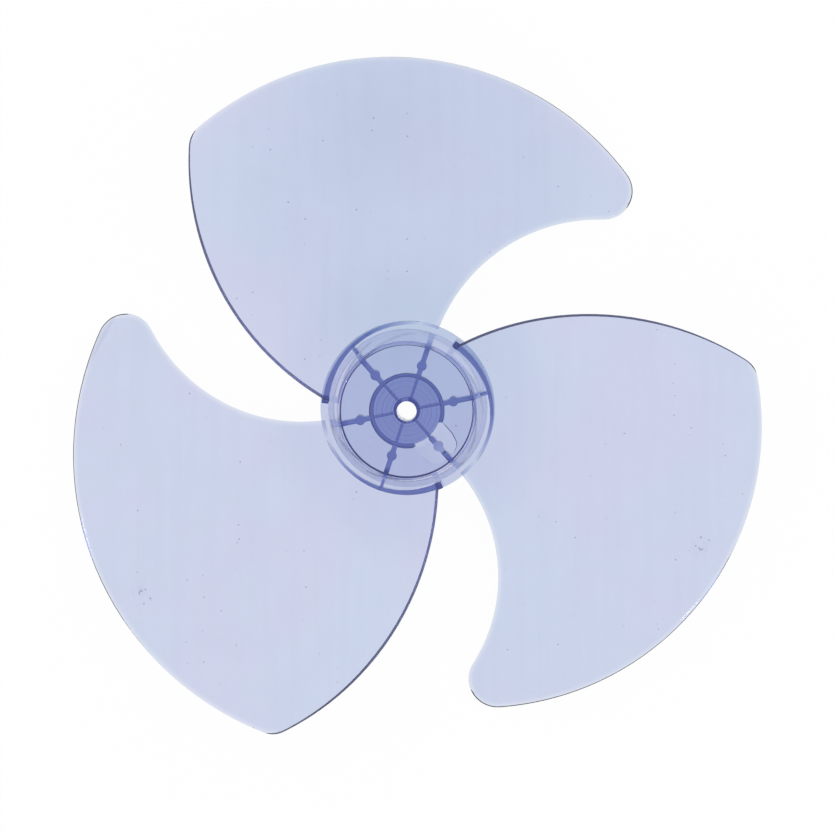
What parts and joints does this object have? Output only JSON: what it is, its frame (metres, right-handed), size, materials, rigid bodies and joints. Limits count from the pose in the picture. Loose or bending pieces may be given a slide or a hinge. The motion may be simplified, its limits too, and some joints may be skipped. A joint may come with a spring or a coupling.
{
  "type": "pedestal fan blade",
  "caption": "Axial fan impeller of clear blue plastic: broad twisted blades round a ribbed cup hub with a plain shaft bore and a broken stretch of inner ring.",
  "frame": {"origin": "on the shaft axis, in the hub's front face where the clamping nut seats", "axes": "+Z along the shaft out of the fan's front, +Y up in the picture, +X to the right"},
  "size_m": [0.3493, 0.3431, 0.0517],
  "materials": {
    "clear_blue_plastic": "clear moulded blue styrene plastic, glossy, finely scratched and dusty"
  },
  "bodies": {
    "root": {"fan_blade": "clear_blue_plastic"}
  },
  "joints": []
}
